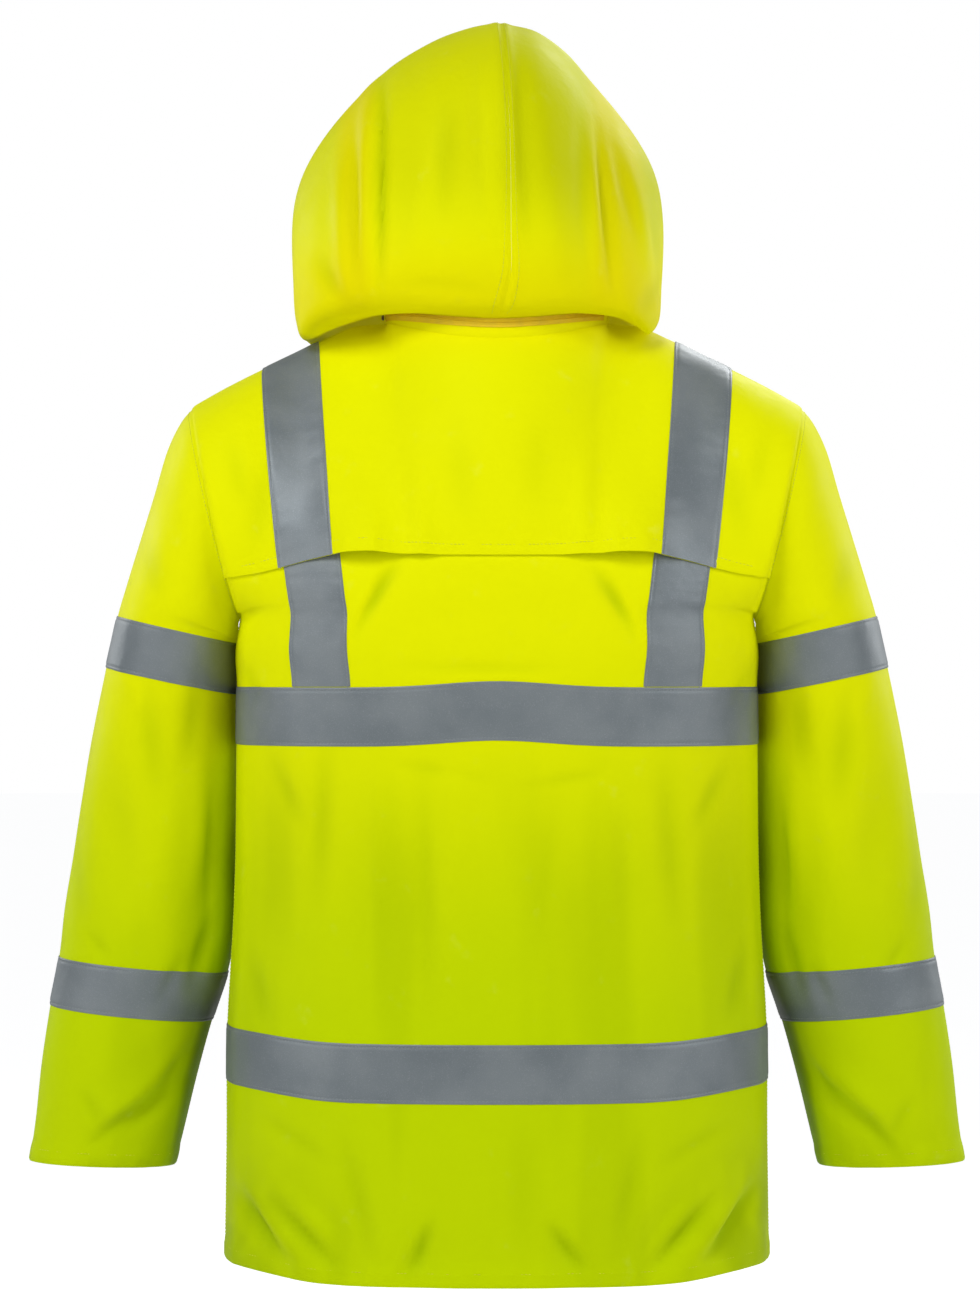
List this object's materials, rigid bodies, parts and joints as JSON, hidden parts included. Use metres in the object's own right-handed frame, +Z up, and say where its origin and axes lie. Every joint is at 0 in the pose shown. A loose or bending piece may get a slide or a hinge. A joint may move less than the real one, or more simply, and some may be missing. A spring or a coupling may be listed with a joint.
{
  "type": "hooded high-visibility work jacket",
  "caption": "Hooded waterproof work jacket in fluorescent yellow with grey reflective tapes, zip front and vented back yoke, in its worn shape.",
  "frame": {"origin": "middle of the neck opening, level with the collar seam, where the wearer's shoulders hold the jacket", "axes": "+Z up, the front of the jacket faces -Y, and the wearer's left sleeve is on +X"},
  "size_m": [0.8354, 0.2903, 1.0952],
  "materials": {
    "cloth": "smooth coated polyester, soft sheen",
    "tape": "grey retroreflective tape, fine weave",
    "zip": "woven zip tape with moulded teeth, dyed to match",
    "metal": "satin",
    "dark_metal": "dark lacquer"
  },
  "bodies": {
    "jacket": {"back": "cloth", "back_yoke": "cloth", "front_left": "cloth", "front_right": "cloth", "sleeve_left": "cloth", "sleeve_right": "cloth", "collar": "cloth", "hood_left": "cloth", "hood_right": "cloth", "chest_tape_back": "tape", "hem_tape_back": "tape", "brace_back_left": "tape", "brace_back_right": "tape", "brace_yoke_left": "tape", "brace_yoke_right": "tape", "chest_tape_front_left": "tape", "hem_tape_front_left": "tape", "brace_front_left": "tape", "chest_tape_front_right": "tape", "hem_tape_front_right": "tape", "brace_front_right": "tape", "upper_sleeve_tape_left": "tape", "lower_sleeve_tape_left": "tape", "upper_sleeve_tape_right": "tape", "lower_sleeve_tape_right": "tape", "front_zip": "zip", "hood_zip": "zip", "zip_slider": "metal", "hood_zip_slider": "dark_metal"},
    "pull_tab": {"zip_pull": "metal"}
  },
  "joints": [
    {"name": "pull_tab_hinge", "type": "hinge", "parent": "jacket", "child": "pull_tab", "pos_m": [0, -0.09695, -0.02687], "axis": [-1, 0, 0], "range_deg": [0, 150]}
  ]
}
